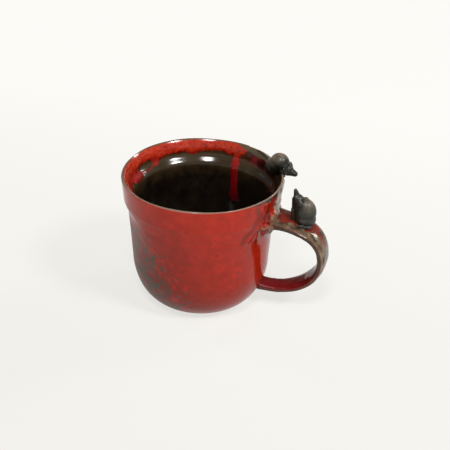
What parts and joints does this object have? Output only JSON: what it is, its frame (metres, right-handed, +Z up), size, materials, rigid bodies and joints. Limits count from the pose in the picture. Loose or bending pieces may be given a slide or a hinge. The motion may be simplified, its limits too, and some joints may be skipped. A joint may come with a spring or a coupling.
{
  "type": "mug",
  "caption": "Handmade stoneware mug with a round bottom, a stepped collar and a pulled strap handle; a clay mouse climbs over the rim and another sits on the handle.",
  "frame": {"origin": "middle of the flat base, on the surface the mug stands on", "axes": "+Z up through the cup's turning axis, +X out through the handle, +Y towards the mouse on the rim"},
  "size_m": [0.1318, 0.1, 0.0966],
  "materials": {
    "red_glaze": "satin",
    "dark_red_glaze": "gloss",
    "bronze_glaze": "satin",
    "black_glaze": "gloss"
  },
  "bodies": {
    "root": {"cup_body": "red_glaze", "handle": "dark_red_glaze", "rim_mouse_body": "bronze_glaze", "rim_mouse_head": "bronze_glaze", "rim_mouse_left_ear": "bronze_glaze", "rim_mouse_right_ear": "bronze_glaze", "rim_mouse_left_eye": "black_glaze", "rim_mouse_right_eye": "black_glaze", "rim_mouse_left_foreleg": "bronze_glaze", "rim_mouse_right_foreleg": "bronze_glaze", "rim_mouse_tail": "bronze_glaze", "handle_mouse_body": "bronze_glaze", "handle_mouse_head": "bronze_glaze", "handle_mouse_left_ear": "bronze_glaze", "handle_mouse_right_ear": "bronze_glaze", "handle_mouse_left_eye": "black_glaze", "handle_mouse_right_eye": "black_glaze", "handle_mouse_left_foreleg": "bronze_glaze", "handle_mouse_right_foreleg": "bronze_glaze", "handle_mouse_tail": "bronze_glaze"}
  },
  "joints": []
}
